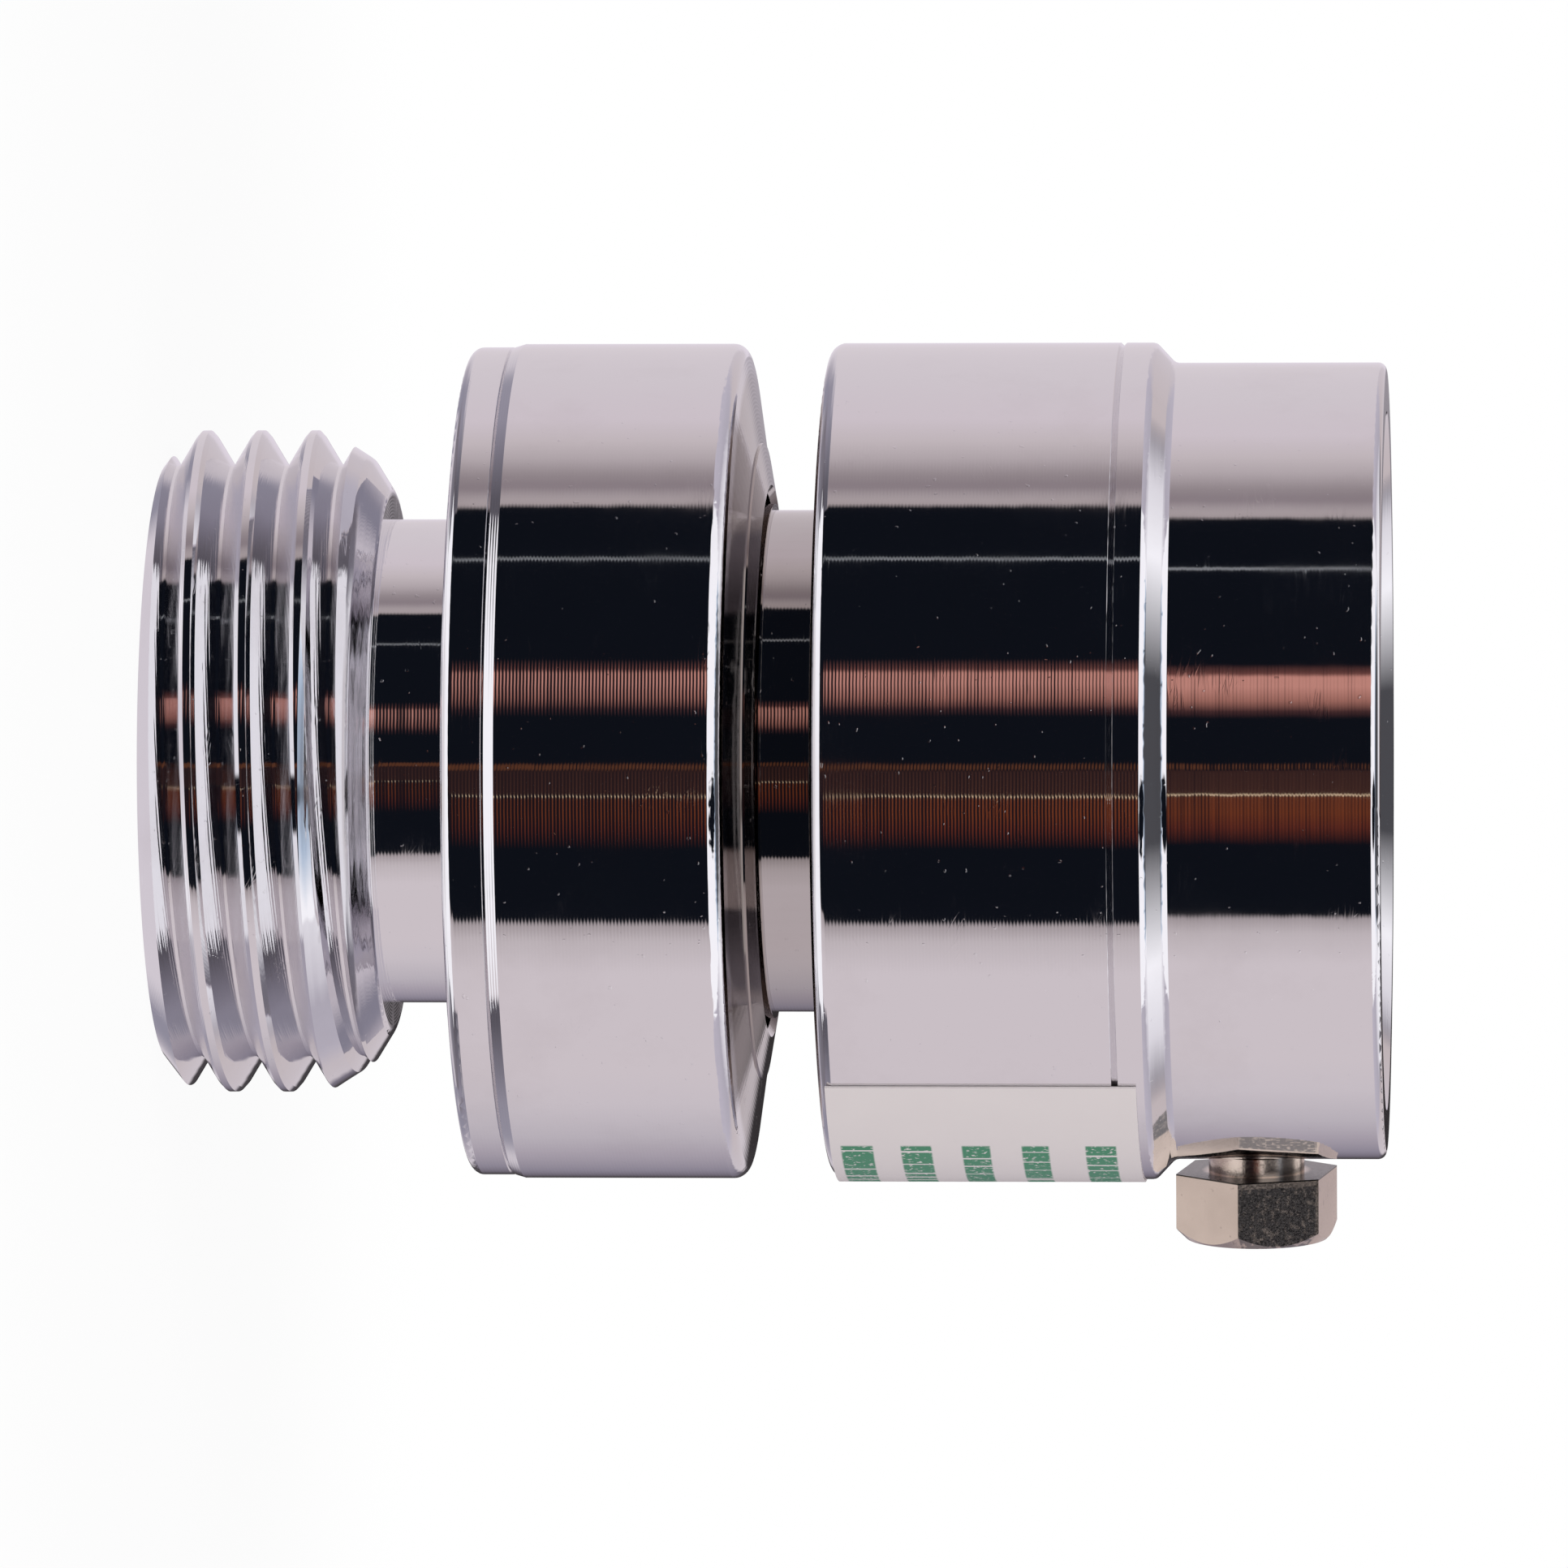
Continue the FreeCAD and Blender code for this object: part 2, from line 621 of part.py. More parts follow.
def seal_screw(name, seal_low, seat):
    """A slotted screw that clamps a seal plate."""
    under_head = seat + " + retainer_height"
    head_top = under_head + " + screw_head_height"
    body = turned(name, [
        ("0", seal_low + " - screw_depth"),
        ("screw_core", seal_low + " - screw_depth"),
        ("screw_core", under_head),
        ("screw_head_radius", under_head),
        ("screw_head_radius", head_top),
        ("0", head_top),
    ])
    before = body.Shape.Volume
    slot = new_sketch(body, name + "_slot_section")
    draw_outline(slot, [
        ("- slot_half", head_top + " - slot_depth"),
        ("slot_half", head_top + " - slot_depth"),
        ("slot_half", head_top + " + slot_depth"),
        ("- slot_half", head_top + " + slot_depth"),
    ])
    pocket = body.newObject("PartDesign::Pocket", name + "_slot")
    pocket.Profile = slot
    pocket.SideType = "Symmetric"
    pocket.setExpression("Length", "2 * (sizes.screw_head_radius + sizes.slot_half)")
    doc.recompute()
    if not body.Shape.Volume < before:
        raise RuntimeError("no slot cut in " + name)
    return body


seal_screw("inlet_seal_screw", INLET_SEAL_LOW, INLET_SEAT)

# Vent: drilled plate on the stem, soft lip under it and the check seat that clamps the lip
plate = turned("vent_plate", [
    (STEM_THREAD + " + fit_gap", PLATE_LOW),
    (PLATE, PLATE_LOW),
    (PLATE, PLATE_TOP),
    (PLATE_BOSS, PLATE_TOP),
    (PLATE_BOSS, BOSS_TOP),
    (STEM_THREAD + " + fit_gap", BOSS_TOP),
])
vent_sketch = new_sketch(plate, "vent_hole_section", "XY_Plane")
draw_circle(vent_sketch, VENT_CIRCLE, "0", "vent_hole")
vent_cut = cut_through(plate, "vent_opening", vent_sketch)
repeat_round(plate, "vent_openings", vent_cut, "vent_count")

turned("outlet_seat", [
    (SEAT_BORE, OUTLET_SEAT),
    (SEAT_BORE + " + seat_ring_land", OUTLET_SEAT),
    (SEAT_BORE + " + seat_ring_land + seat_ring_rise", SEAT_FLANGE_LOW),
    (SEAT_FLANGE, SEAT_FLANGE_LOW),
    (SEAT_FLANGE, STEM_END),
    (SEAT_SPIGOT, STEM_END),
    (SEAT_SPIGOT, STEM_END + " + seat_spigot_length"),
    (SEAT_BORE, STEM_END + " + seat_spigot_length"),
])
turned("vent_diaphragm", [
    (BEAD_INNER, STEM_END),
    (BEAD_OUTER, STEM_END),
    (LIP, STEM_END + " - lip_drop"),
    (LIP, STEM_END + " - lip_drop + lip_thickness"),
    (BEAD_OUTER + " + seam_bevel", STEM_END + " + lip_root_rise"),
    (BEAD_OUTER, STEM_END + " + bead_height"),
    (BEAD_INNER, STEM_END + " + bead_height"),
])
turned("plate_gasket", [
    (OUTLET_CHAMBER + " + fit_gap", OUTLET_SPIGOT_END),
    (PLATE, OUTLET_SPIGOT_END),
    (PLATE, PLATE_LOW),
    (OUTLET_CHAMBER + " + fit_gap", PLATE_LOW),
])

# Skirt: the hood over the vent, open round the stem
skirt = turned("skirt", [
    (SKIRT + " - skirt_lead", SEAM_LOW),
    (SKIRT, SEAM_LOW + " + skirt_lead_length"),
    (SKIRT, SHOULDER),
    (RING_LINE_RADIUS, RING_LINE),
    (RING_LINE_RADIUS, RING_TOP),
    (VENT_BORE + " + vent_lip", CROWN),
    (VENT_BORE, CROWN + " - vent_lip"),
    (VENT_BORE, SHOULDER + " - skirt_ceiling"),
    (SKIRT_CAVITY, SHOULDER + " - skirt_ceiling"),
    (SKIRT_CAVITY, PLATE_TOP),
    (SKIRT_BORE, PLATE_TOP),
    (SKIRT_BORE, SEAM_LOW),
])
soften(skirt, "skirt_corner_round", [(SKIRT, SHOULDER)], "skirt_corner")

# Outlet fitting: flange, neck and the outside hose thread
fitting = turned("outlet_fitting", [
    (OUTLET_BORE + " + bore_bevel", "0"),
    (CREST + " - end_bevel", "0"),
    (CREST, "end_bevel_height"),
    (CREST, BACK_FACE + " - back_slope_start"),
    (BACK_SLOPE, BACK_FACE + " - back_slope_end"),
    (BACK_FACE_RADIUS, BACK_FACE),
    (NECK, BACK_FACE),
    (NECK, FLANGE_LOW),
    (FLANGE, FLANGE_LOW),
    (FLANGE, SEAM_LOW),
    (OUTLET_SPIGOT, SEAM_LOW),
    (OUTLET_SPIGOT, OUTLET_SPIGOT_END),
    (OUTLET_CHAMBER, OUTLET_SPIGOT_END),
    (OUTLET_CHAMBER, CHAMBER_LOW),
    (OUTLET_BORE, CHAMBER_LOW),
    (OUTLET_BORE, RING_SEAT),
    (RING_GROOVE, RING_SEAT),
    (RING_GROOVE, "ring_level"),
    (OUTLET_BORE, "ring_level"),
    (OUTLET_BORE, "bore_bevel"),
])
soften(fitting, "thread_back_round", [
    (BACK_SLOPE, BACK_FACE + " - back_slope_end"),
    (BACK_FACE_RADIUS, BACK_FACE),
], "back_round")
soften(fitting, "flange_low_round", [(FLANGE, FLANGE_LOW)], "flange_corner")
soften(fitting, "flange_seam_bevel", [(FLANGE, SEAM_LOW)], "seam_bevel", bevel=True)
groove = new_sketch(fitting, "thread_groove_section")
start = "- thread_first_root"
draw_outline(groove, [
    (ROOT, start + " - root_flat_half"),
    (CREST + " - groove_side_drop", start + " - groove_side_half"),
    (CREST + " + groove_overshoot", start + " - groove_mouth_half"),
    (CREST + " + groove_overshoot", start + " + groove_mouth_half"),
    (CREST + " - groove_side_drop", start + " + groove_side_half"),
    (ROOT, start + " + root_flat_half"),
])
plain_volume = fitting.Shape.Volume
thread = fitting.newObject("PartDesign::SubtractiveHelix", "hose_thread")
thread.Profile = groove
thread.ReferenceAxis = (groove, ["V_Axis"])
thread.Mode = 0
thread.setExpression("Pitch", bound("thread_pitch"))
thread.setExpression("Height", bound("block_length + thread_first_root - thread_stop"))
doc.recompute()
if not fitting.Shape.Volume < plain_volume:
    raise RuntimeError("the hose thread cut nothing")

# Outlet check: snap ring, guide, spring, poppet, rubber face, plate and screw
ring = new_body("snap_ring")
ring_sketch = new_sketch(ring, "snap_ring_section")
draw_outline(ring_sketch, [
    (RING_INNER, "ring_level"),
    (RING_OUTER, "ring_level"),
    (RING_OUTER, RING_SEAT),
    (RING_INNER, RING_SEAT),
])
revolve(ring, "snap_ring_turning", ring_sketch, angle="ring_angle")

outlet_guide = turned("outlet_guide", [
    (GUIDE_HOLE, RING_SEAT),
    (OUTLET_GUIDE_OUTER, RING_SEAT),
    (OUTLET_GUIDE_OUTER, OUTLET_GUIDE_TOP),
    (GUIDE_HOLE, OUTLET_GUIDE_TOP),
])
window = spoke_window(
    outlet_guide, "outlet_guide_window", GUIDE_HUB, OUTLET_GUIDE_INNER, "spoke_half"
)
window_cut = cut_through(outlet_guide, "outlet_guide_opening", window)
repeat_round(outlet_guide, "outlet_guide_openings", window_cut, "spoke_count")

coil(
    "outlet_spring", "spring_radius", "wire_radius", OUTLET_GUIDE_TOP, OUTLET_HEAD_LOW,
    "outlet_spring_pitch",
)
turned("outlet_poppet", [
    ("0", OUTLET_PIN_END),
    ("pin_radius - pin_tip", OUTLET_PIN_END),
    ("pin_radius", OUTLET_PIN_END + " + pin_tip"),
    ("pin_radius", OUTLET_HEAD_LOW + " - pin_root"),
    ("pin_radius + pin_root", OUTLET_HEAD_LOW),
    (OUTLET_HEAD_RADIUS, OUTLET_HEAD_LOW),
    (OUTLET_HEAD_RADIUS, OUTLET_HEAD_TOP),
    (OUTLET_SEAL_RADIUS + " + seal_side_gap", OUTLET_HEAD_TOP),
    (OUTLET_SEAL_RADIUS + " + seal_side_gap", OUTLET_SEAL_LOW),
    ("screw_core + screw_hole_gap", OUTLET_SEAL_LOW),
    ("screw_core + screw_hole_gap", OUTLET_SEAL_LOW + " - screw_depth"),
    ("0", OUTLET_SEAL_LOW + " - screw_depth"),
])
turned("outlet_seal", [
    ("screw_core + screw_hole_gap", OUTLET_SEAL_LOW),
    (OUTLET_SEAL_RADIUS, OUTLET_SEAL_LOW),
    (OUTLET_SEAL_RADIUS, OUTLET_SEAT),
    ("screw_core + screw_hole_gap", OUTLET_SEAT),
])
turned("outlet_seal_plate", [
    ("screw_core + screw_hole_gap", OUTLET_SEAT),
    (OUTLET_RETAINER, OUTLET_SEAT),
    (OUTLET_RETAINER, OUTLET_SEAT + " + retainer_height"),
    ("screw_core + screw_hole_gap", OUTLET_SEAT + " + retainer_height"),
])
seal_screw("outlet_seal_screw", OUTLET_SEAL_LOW, OUTLET_SEAT)

# Break-off set screw, drawn upright and then laid along +X into the collar
set_screw = turned("set_screw", [
    ("0", SET_TIP),
    ("set_tip_radius", SET_TIP),
    ("set_radius", SET_TIP + " + set_tip_length"),
    ("set_radius", SET_TIP + " + set_length"),
    ("break_radius", BREAK_LOW),
    ("break_radius", BREAK_HIGH),
    ("set_radius", BREAK_HIGH + " + set_taper"),
    ("set_radius", HEX_LOW + " + seam_bevel"),
    ("0", HEX_LOW + " + seam_bevel"),
])
hexagon = new_sketch(set_screw, "head_section", "XY_Plane")
hexagon.AttachmentOffset = Placement(Vector(0, 0, value(HEX_LOW)), Rotation())
hexagon.setExpression("AttachmentOffset.Base.z", bound(HEX_LOW))
reach = value("hex_corner_radius")
half_side = reach / 2
flat_reach = reach * 0.75 ** 0.5
tips = [
    Vector(reach, 0, 0),
    Vector(half_side, flat_reach, 0),
    Vector(-half_side, flat_reach, 0),
    Vector(-reach, 0, 0),
    Vector(-half_side, -flat_reach, 0),
    Vector(half_side, -flat_reach, 0),
]
for i in range(6):
    hexagon.addGeometry(Part.LineSegment(tips[i], tips[(i + 1) % 6]), False)
rim = hexagon.addGeometry(Part.Circle(Vector(0, 0, 0), Vector(0, 0, 1), reach), True)
hexagon.addConstraint(Sketcher.Constraint("Coincident", rim, 3, -1, 1))
size = Sketcher.Constraint("Radius", rim, reach)
size_constraint(hexagon, size, "hex_corner_radius")
for i in range(6):
    hexagon.addConstraint(Sketcher.Constraint("Coincident", i, 2, (i + 1) % 6, 1))
    hexagon.addConstraint(Sketcher.Constraint("PointOnObject", i, 1, rim))
for i in range(1, 6):
    hexagon.addConstraint(Sketcher.Constraint("Equal", 0, i))
hexagon.addConstraint(Sketcher.Constraint("PointOnObject", 0, 1, -1))
head = set_screw.newObject("PartDesign::Pad", "head")
head.Profile = hexagon
head.setExpression("Length", bound("hex_height"))
doc.recompute()
before = set_screw.Shape.Volume
bevel = new_sketch(set_screw, "head_bevel_section")
draw_outline(bevel, [
    ("hex_corner_radius - hex_bevel_in", HEX_TOP),
    ("hex_corner_radius + seam_bevel", HEX_TOP),
    ("hex_corner_radius + seam_bevel", HEX_TOP + " - hex_bevel_down - seam_bevel"),
])
revolve(set_screw, "head_bevel", bevel, cut=True)
if not set_screw.Shape.Volume < before:
    raise RuntimeError("the head bevel cut nothing")
lay_down = Rotation(Vector(0, 1, 0), 90)
spin = Rotation(Vector(0, 0, 1), value("hex_angle"))
set_screw.Placement = Placement(Vector(0, 0, value(HOLE_LEVEL)), lay_down.multiply(spin))

# Sticker wrapped part of the way round the cup
sticker = new_body("sticker")
sticker_sketch = new_sketch(sticker, "sticker_section")
draw_outline(sticker_sketch, [
    (BODY + " + label_gap", CUP_LOW + " + label_margin"),
    (BODY + " + label_gap + label_thickness", CUP_LOW + " + label_margin"),
    (BODY + " + label_gap + label_thickness", SEAM_HIGH + " + label_overlap"),
    (BODY + " + label_gap", SEAM_HIGH + " + label_overlap"),
])
revolve(sticker, "sticker_wrap", sticker_sketch, angle="label_angle")
sticker.Placement = Placement(Vector(0, 0, 0), Rotation(Vector(0, 0, 1), -value("label_start_angle")))

doc.recompute()
for item in doc.Objects:
    if "Invalid" in item.State or "Error" in item.State:
        raise RuntimeError("failed object " + item.Name)
bodies = [item for item in doc.Objects if item.TypeId == "PartDesign::Body"]
for body in bodies:
    if body.Shape.isNull() or not body.Shape.isValid() or len(body.Shape.Solids) != 1:
        raise RuntimeError("bad shape " + body.Label)
for body in bodies:
    body.Shape.exportStep("parts/%s.step" % body.Label)
    box = body.Shape.BoundBox
    print(
        "%-18s vol %8.1f  x %6.2f %6.2f  y %6.2f %6.2f  z %6.2f %6.2f"
        % (body.Label, body.Shape.Volume, box.XMin, box.XMax, box.YMin, box.YMax, box.ZMin, box.ZMax)
    )
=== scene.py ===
"""Looks of the hose bib vacuum breaker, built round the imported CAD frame. Lengths are in metres."""
import json
import math

import bmesh
import bpy
from mathutils import Matrix, Vector


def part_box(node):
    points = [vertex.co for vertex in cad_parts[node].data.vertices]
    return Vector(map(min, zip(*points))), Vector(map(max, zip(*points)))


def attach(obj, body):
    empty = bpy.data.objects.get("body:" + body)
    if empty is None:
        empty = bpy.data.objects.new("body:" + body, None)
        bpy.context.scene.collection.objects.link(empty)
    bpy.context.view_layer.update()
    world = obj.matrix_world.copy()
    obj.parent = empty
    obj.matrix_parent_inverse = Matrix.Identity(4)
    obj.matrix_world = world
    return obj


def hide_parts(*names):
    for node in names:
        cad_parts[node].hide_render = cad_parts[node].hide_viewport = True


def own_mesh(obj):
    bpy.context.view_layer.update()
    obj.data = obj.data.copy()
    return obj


MM = 0.001
AXIS = Vector((0, 0, 1))

# The photograph: 1932 pixels across, 30.35 pixels to a millimetre at the axis
FRAME_PIXELS = 1932
PIXELS_PER_MM = 30.35
CAMERA_DISTANCE = 550 * MM
CAMERA_AZIMUTH = math.radians(-8.3)
CAMERA_ELEVATION = math.radians(3.6)
VIEW_CENTRE = Vector((0.947 * MM, 0, 25.05 * MM))
SENSOR_WIDTH = 36.0

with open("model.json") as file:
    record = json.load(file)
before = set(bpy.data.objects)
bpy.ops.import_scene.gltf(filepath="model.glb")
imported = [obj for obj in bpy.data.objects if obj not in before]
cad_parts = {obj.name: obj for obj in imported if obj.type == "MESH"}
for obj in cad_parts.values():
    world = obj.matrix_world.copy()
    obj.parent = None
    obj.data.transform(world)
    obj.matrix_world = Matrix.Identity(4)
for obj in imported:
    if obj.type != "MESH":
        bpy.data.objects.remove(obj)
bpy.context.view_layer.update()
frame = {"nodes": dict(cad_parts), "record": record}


# Shader helpers
def put(tree, kind, inputs=None, **settings):
    """Add a node, set its properties, and set or link its inputs."""
    node = tree.nodes.new(kind)
    for name, setting in settings.items():
        setattr(node, name, setting)
    for name, source in (inputs or {}).items():
        socket = node.inputs[name]
        if isinstance(source, bpy.types.NodeSocket):
            tree.links.new(source, socket)
        else:
            socket.default_value = source
    return node


def calc(tree, operation, *sources):
    """A Math node's result."""
    return put(tree, "ShaderNodeMath", dict(enumerate(sources)), operation=operation).outputs[0]


def ramp(tree, factor, stops):
    """A colour ramp through (place, colour) stops."""
    node = put(tree, "ShaderNodeValToRGB", {"Fac": factor})
    elements = node.color_ramp.elements
    while len(elements) > 1:
        elements.remove(elements[0])
    elements[0].position = stops[0][0]
    elements[0].color = (*stops[0][1], 1)
    for place, colour in stops[1:]:
        elements.new(place).color = (*colour, 1)
    return node.outputs["Color"]


def span(tree, source, low, high, out_low=0.0, out_high=1.0, smooth=False):
    """The source's range low to high, laid out over another range."""
    inputs = {"Value": source, "From Min": low, "From Max": high, "To Min": out_low, "To Max": out_high}
    kind = "SMOOTHSTEP" if smooth else "LINEAR"
    return put(tree, "ShaderNodeMapRange", inputs, interpolation_type=kind).outputs["Result"]


def blend_colour(tree, factor, first, second, blend="MIX"):
    node = put(tree, "ShaderNodeMix", data_type="RGBA", blend_type=blend)
    for socket, source in ((node.inputs[0], factor), (node.inputs[6], first), (node.inputs[7], second)):
        if isinstance(source, bpy.types.NodeSocket):
            tree.links.new(source, socket)
        elif isinstance(source, tuple):
            socket.default_value = (*source, 1)
        else:
            socket.default_value = source
    return node.outputs[2]


def noise(tree, vector, scale, detail=2.0, roughness=0.5):
    inputs = {"Vector": vector, "Scale": scale, "Detail": detail, "Roughness": roughness}
    return put(tree, "ShaderNodeTexNoise", inputs).outputs[0]


def stretched(tree, vector, scale):
    return put(tree, "ShaderNodeMapping", {"Vector": vector, "Scale": scale}).outputs[0]


def linear(red, green, blue):
    """A colour given as seen on a screen, 0 to 255, turned into light."""
    def part(level):
        share = level / 255
        return share / 12.92 if share <= 0.04045 else ((share + 0.055) / 1.055) ** 2.4
    return part(red), part(green), part(blue)


def new_material(name):
    """A material with an empty tree and its principled shader."""
    material = bpy.data.materials.new(name)
    material.use_nodes = True
    tree = material.node_tree
    tree.nodes.clear()
    shader = put(tree, "ShaderNodeBsdfPrincipled")
    put(tree, "ShaderNodeOutputMaterial", {"Surface": shader.outputs[0]})
    place = put(tree, "ShaderNodeTexCoord").outputs["Object"]
    return material, tree, shader, place


def bump(tree, height, distance, normal=None):
    inputs = {"Height": height, "Distance": distance}
    if normal is not None:
        inputs["Normal"] = normal
    return put(tree, "ShaderNodeBump", inputs).outputs["Normal"]


def along_profile(tree, place):
    """Distance along a turned profile, near enough: height plus radius."""
    parts = put(tree, "ShaderNodeSeparateXYZ", {0: place})
    flat = put(tree, "ShaderNodeCombineXYZ", {0: parts.outputs[0], 1: parts.outputs[1]}).outputs[0]
    radius = put(tree, "ShaderNodeVectorMath", {0: flat}, operation="LENGTH").outputs["Value"]
    return calc(tree, "ADD", parts.outputs[2], radius), parts, radius


def hairlines(tree, place, turn, fine, long, width, level):
    """Thin straight scratches that lie one way: 1 on a scratch, 0 elsewhere."""
    turned = put(tree, "ShaderNodeMapping", {"Vector": place, "Rotation": turn}).outputs[0]
    grain = noise(tree, stretched(tree, turned, (fine, long, long)), 1.0, detail=1.0)
    near = calc(tree, "ABSOLUTE", calc(tree, "SUBTRACT", grain, 0.5))
    line = span(tree, near, 0.0, width, 1.0, 0.0)
    patches = noise(tree, place, 420.0, detail=1.0)
    return calc(tree, "MULTIPLY", line, span(tree, patches, level, level + 0.06))


# Materials
LATHE_PITCH = 0.137 * MM
RING_HEIGHT = 0.00076 * MM
UNEVEN_HEIGHT = 0.0035 * MM
RIPPLE_HEIGHT = 0.008 * MM
SCRATCH_HEIGHT = 0.0009 * MM
PIT_HEIGHT = 0.002 * MM
COLLAR_LEVEL = 41.0 * MM
GAP_LOW = 23.65 * MM
GAP_HIGH = 27.1 * MM
GAP_NECK = 9.9 * MM
GAP_RIM = 16.0 * MM


def vent_gap(tree, up, radius):
    """1 on the crown and the cup's floor, tinted to stand in for the dark reflections in the photo's gap."""
    within = calc(
        tree, "MULTIPLY",
        span(tree, up, GAP_LOW, GAP_LOW + 0.1 * MM),
        span(tree, up, GAP_HIGH, GAP_HIGH + 0.1 * MM, 1.0, 0.0),
    )
    round_neck = calc(
        tree, "MULTIPLY",
        span(tree, radius, GAP_NECK, GAP_NECK + 0.5 * MM, 0.15, 1.0),
        span(tree, radius, GAP_RIM - 0.4 * MM, GAP_RIM, 1.0, 0.0),
    )
    return calc(tree, "MULTIPLY", within, round_neck)


def chrome_material():
    """Bright chrome over turned brass: fine lathe rings, faint scratches, small pits and a few smudges."""
    material, tree, shader, place = new_material("bright_chrome")
    along, parts, radius = along_profile(tree, place)
    rings = calc(tree, "SINE", calc(tree, "MULTIPLY", along, 2 * math.pi / LATHE_PITCH))
    ring_depth = span(tree, noise(tree, place, 90.0), 0.35, 0.62, 0.6, 1.0)
    collar = span(tree, parts.outputs[2], COLLAR_LEVEL, COLLAR_LEVEL + 0.1 * MM, 1.0, 0.3)
    ring_depth = calc(tree, "MULTIPLY", ring_depth, collar)
    normal = bump(tree, calc(tree, "MULTIPLY", rings, ring_depth), RING_HEIGHT)
    uneven = noise(tree, stretched(tree, place, (60.0, 60.0, 3000.0)), 1.0, detail=2.0)
    normal = bump(tree, uneven, UNEVEN_HEIGHT, normal)
    ripple = noise(tree, stretched(tree, place, (230.0, 230.0, 700.0)), 1.0, detail=1.0)
    normal = bump(tree, ripple, RIPPLE_HEIGHT, normal)
    scratches = calc(
        tree, "MAXIMUM",
        hairlines(tree, place, (0.5, 1.2, 0.0), 3600.0, 500.0, 0.03, 0.64),
        hairlines(tree, place, (0.0, math.pi / 2, 0.0), 3200.0, 260.0, 0.05, 0.6),
    )
    normal = bump(tree, scratches, SCRATCH_HEIGHT, normal)
    pits = span(tree, noise(tree, place, 3600.0, detail=1.0), 0.755, 0.775)
    normal = bump(tree, pits, PIT_HEIGHT, normal)
    smudge = span(tree, noise(tree, place, 150.0, detail=5.0, roughness=0.65), 0.5, 0.75)
    tint = blend_colour(tree, smudge, (0.80, 0.79, 0.81), (0.755, 0.74, 0.757))
    tint = blend_colour(tree, vent_gap(tree, parts.outputs[2], radius), tint, (0.40, 0.36, 0.34))
    rough = span(tree, smudge, 0.0, 1.0, 0.04, 0.09)
    rough = calc(tree, "ADD", rough, calc(tree, "MULTIPLY", scratches, 0.05))
    shader.inputs["Metallic"].default_value = 1.0
    tree.links.new(tint, shader.inputs["Base Color"])
    tree.links.new(rough, shader.inputs["Roughness"])
    tree.links.new(normal, shader.inputs["Normal"])
    return material


def satin_metal(name, colour, dark, roughness, grain_size, depth):
    """A duller metal with fine grain, worn spots and an uneven shine."""
    material, tree, shader, place = new_material(name)
    grain = noise(tree, place, 1 / grain_size, detail=3.0, roughness=0.6)
    cloud = noise(tree, place, 260.0, detail=3.0)
    spots = span(tree, noise(tree, place, 2600.0, detail=2.0), 0.66, 0.74)
    tint = blend_colour(tree, span(tree, cloud, 0.4, 0.7), colour, dark)
    tint = blend_colour(tree, calc(tree, "MULTIPLY", spots, 0.5), tint, tuple(0.4 * part for part in dark))
    shader.inputs["Metallic"].default_value = 1.0
    rough = span(tree, grain, 0.3, 0.7, roughness * 0.75, roughness * 1.3)
    tree.links.new(rough, shader.inputs["Roughness"])
    tree.links.new(bump(tree, grain, depth), shader.inputs["Normal"])
    tree.links.new(tint, shader.inputs["Base Color"])
    return material, tree, shader, place, tint


HEAD_LEVEL = 16.84 * MM
SCREW_LEVEL = 44.17 * MM
NECK_REACH = 1.95 * MM
# Middle and half width, round the screw's axis, of the head's facet that carries a painted dark reflection
FACING_FACET_MIDDLE = math.radians(18)
FACING_FACET_HALF = math.radians(29.5)


def nickel_material():
    """Satin nickel, with painted shade and dark reflection on the head's inner face, and a painted dark
    reflection, flecked lighter, on the head's facet that faces the camera.
    """
    material, tree, shader, place, tint = satin_metal(
        "satin_nickel", (0.66, 0.55, 0.47), (0.54, 0.45, 0.38), 0.2, 0.09 * MM, 0.004 * MM,
    )
    parts = put(tree, "ShaderNodeSeparateXYZ", {0: place})
    up = calc(tree, "SUBTRACT", parts.outputs[2], SCREW_LEVEL)
    flat = put(tree, "ShaderNodeCombineXYZ", {0: parts.outputs[1], 1: up}).outputs[0]
    reach = put(tree, "ShaderNodeVectorMath", {0: flat}, operation="LENGTH").outputs["Value"]
    # Painted shade and dark reflection on the head's inner face, which faces the collar: the base colour goes
    # nearly black there.
    inner = calc(
        tree, "MULTIPLY",
        span(tree, parts.outputs[0], HEAD_LEVEL, HEAD_LEVEL + 0.03 * MM, 1.0, 0.0),
        span(tree, reach, NECK_REACH, NECK_REACH + 0.3 * MM),
    )
    # Painted dark reflection on the head's facet that faces the camera, broken by lighter flecks.
    facing = calc(tree, "ARCTAN2", up, calc(tree, "MULTIPLY", parts.outputs[1], -1.0))
    off = calc(tree, "ABSOLUTE", calc(tree, "SUBTRACT", facing, FACING_FACET_MIDDLE))
    painted_facet_reflection = span(tree, off, FACING_FACET_HALF - 0.02, FACING_FACET_HALF, 1.0, 0.0)
    head = span(tree, parts.outputs[0], HEAD_LEVEL + 0.2 * MM, HEAD_LEVEL + 0.25 * MM)
    flecks = span(tree, noise(tree, place, 4200.0, detail=2.0), 0.52, 0.66, 1.0, 0.2)
    painted_facet_reflection = calc(tree, "MULTIPLY", calc(tree, "MULTIPLY", painted_facet_reflection, head), flecks)
    tint = blend_colour(tree, painted_facet_reflection, tint, (0.22, 0.20, 0.19))
    tree.links.new(blend_colour(tree, inner, tint, (0.045, 0.04, 0.035)), shader.inputs["Base Color"])
    return material


def rubber_material():
    material, tree, shader, place = new_material("moulded_rubber")
    grain = noise(tree, place, 3000.0, detail=3.0)
    dust = span(tree, noise(tree, place, 700.0, detail=4.0), 0.55, 0.8)
    tint = blend_colour(tree, dust, (0.022, 0.022, 0.023), (0.09, 0.088, 0.085))
    tree.links.new(tint, shader.inputs["Base Color"])
    tree.links.new(span(tree, grain, 0.3, 0.7, 0.45, 0.7), shader.inputs["Roughness"])
    tree.links.new(bump(tree, grain, 0.01 * MM), shader.inputs["Normal"])
    return material


